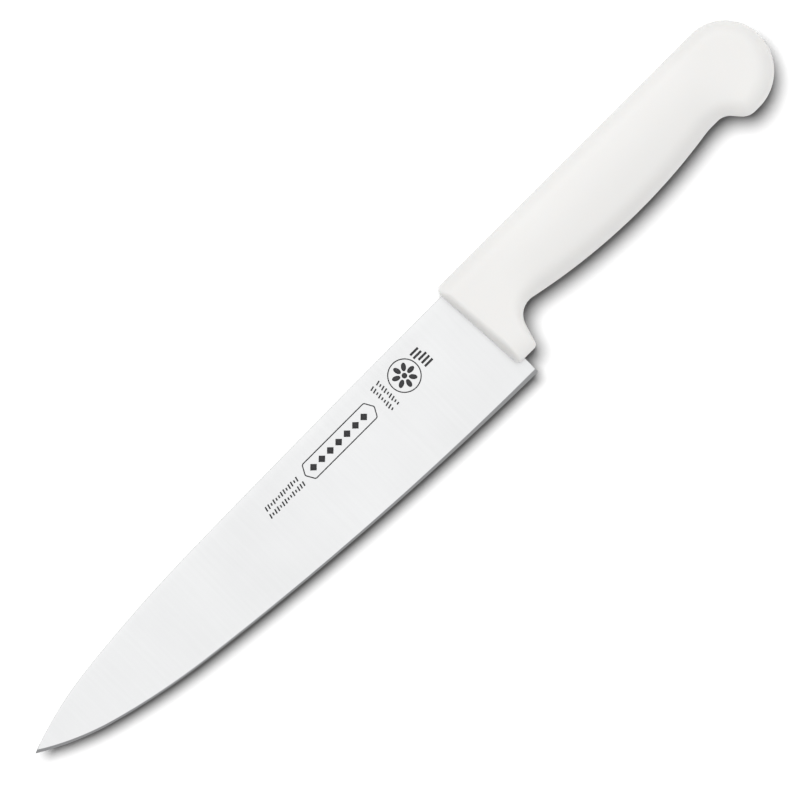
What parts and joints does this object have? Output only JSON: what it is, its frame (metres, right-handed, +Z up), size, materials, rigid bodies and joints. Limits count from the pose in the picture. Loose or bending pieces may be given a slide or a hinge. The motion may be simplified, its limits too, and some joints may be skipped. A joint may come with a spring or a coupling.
{
  "type": "chef knife",
  "caption": "Chef knife with a satin steel blade and a white moulded handle that has a finger guard and a hooked butt, lying on its side.",
  "frame": {"origin": "on the surface that the knife lies on, under the middle of its bounding box", "axes": "+X from the blade's point to the butt, +Y from the cutting edge to the spine, +Z up, out of the flank that faces the viewer"},
  "size_m": [0.3382, 0.0432, 0.02],
  "materials": {
    "blade_steel": "satin ground stainless steel",
    "handle_plastic": "white polypropylene with a fine textured skin"
  },
  "bodies": {
    "root": {"blade": "blade_steel", "handle": "handle_plastic"}
  },
  "joints": []
}
